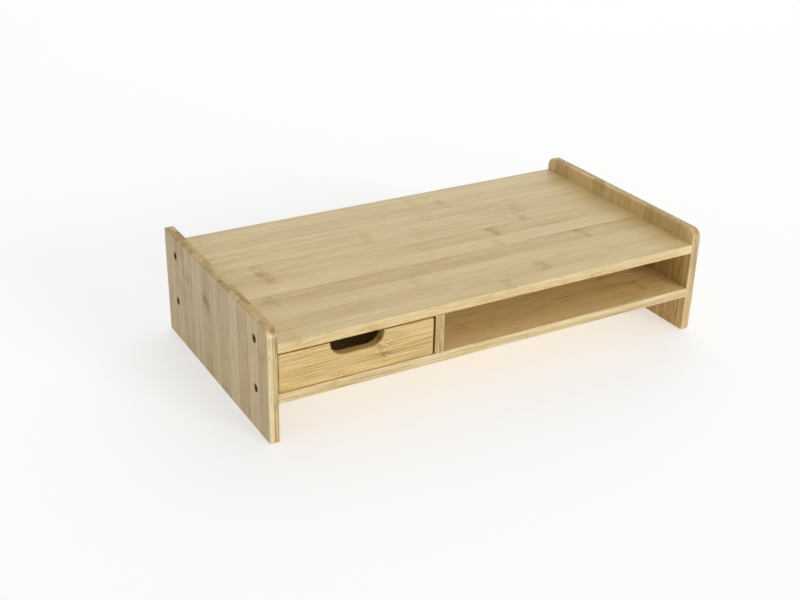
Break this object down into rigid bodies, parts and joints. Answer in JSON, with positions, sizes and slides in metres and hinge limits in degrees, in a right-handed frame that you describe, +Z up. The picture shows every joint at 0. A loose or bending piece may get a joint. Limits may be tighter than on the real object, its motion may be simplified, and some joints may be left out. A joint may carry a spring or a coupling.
{
  "type": "monitor stand",
  "caption": "Low bamboo monitor stand: a top deck between raised side panels, over a shelf with an open compartment and a small drawer with a finger notch.",
  "frame": {"origin": "middle of the footprint, on the surface the stand stands on", "axes": "+X to the stand's right along its width, -Y towards the front, +Z up"},
  "size_m": [0.49, 0.255, 0.115],
  "materials": {
    "bamboo_panel": "satin clear lacquer over edge-glued bamboo strips, grain upright",
    "bamboo_deck": "satin clear lacquer over edge-glued bamboo strips, grain along the width",
    "bamboo_drawer_front": "satin clear lacquer over one golden bamboo board, grain along the width",
    "bamboo_drawer_box": "sanded, thin clear lacquer",
    "bamboo_drawer_bottom": "thin bamboo plywood, sanded",
    "beech_dowel": "unfinished",
    "dark_steel": "dark bronze plating, slightly glossy",
    "zinc_steel": "zinc plated"
  },
  "bodies": {
    "frame": {"left_side_panel": "bamboo_panel", "right_side_panel": "bamboo_panel", "top_board": "bamboo_deck", "lower_shelf": "bamboo_deck", "divider_panel": "bamboo_panel", "drawer_stop": "bamboo_panel", "left_panel_screws": "dark_steel", "right_panel_screws": "dark_steel", "left_panel_dowels": "beech_dowel", "right_panel_dowels": "beech_dowel", "divider_screws": "zinc_steel", "divider_dowels": "beech_dowel"},
    "drawer": {"drawer_front": "bamboo_drawer_front", "drawer_left_side": "bamboo_drawer_box", "drawer_right_side": "bamboo_drawer_box", "drawer_back": "bamboo_drawer_box", "drawer_bottom": "bamboo_drawer_bottom", "drawer_front_dowels": "beech_dowel", "drawer_back_dowels": "beech_dowel"}
  },
  "joints": [
    {"name": "drawer_slide", "type": "slide", "parent": "frame", "child": "drawer", "axis": [0, -1, 0], "range_m": [0, 0.19]}
  ]
}
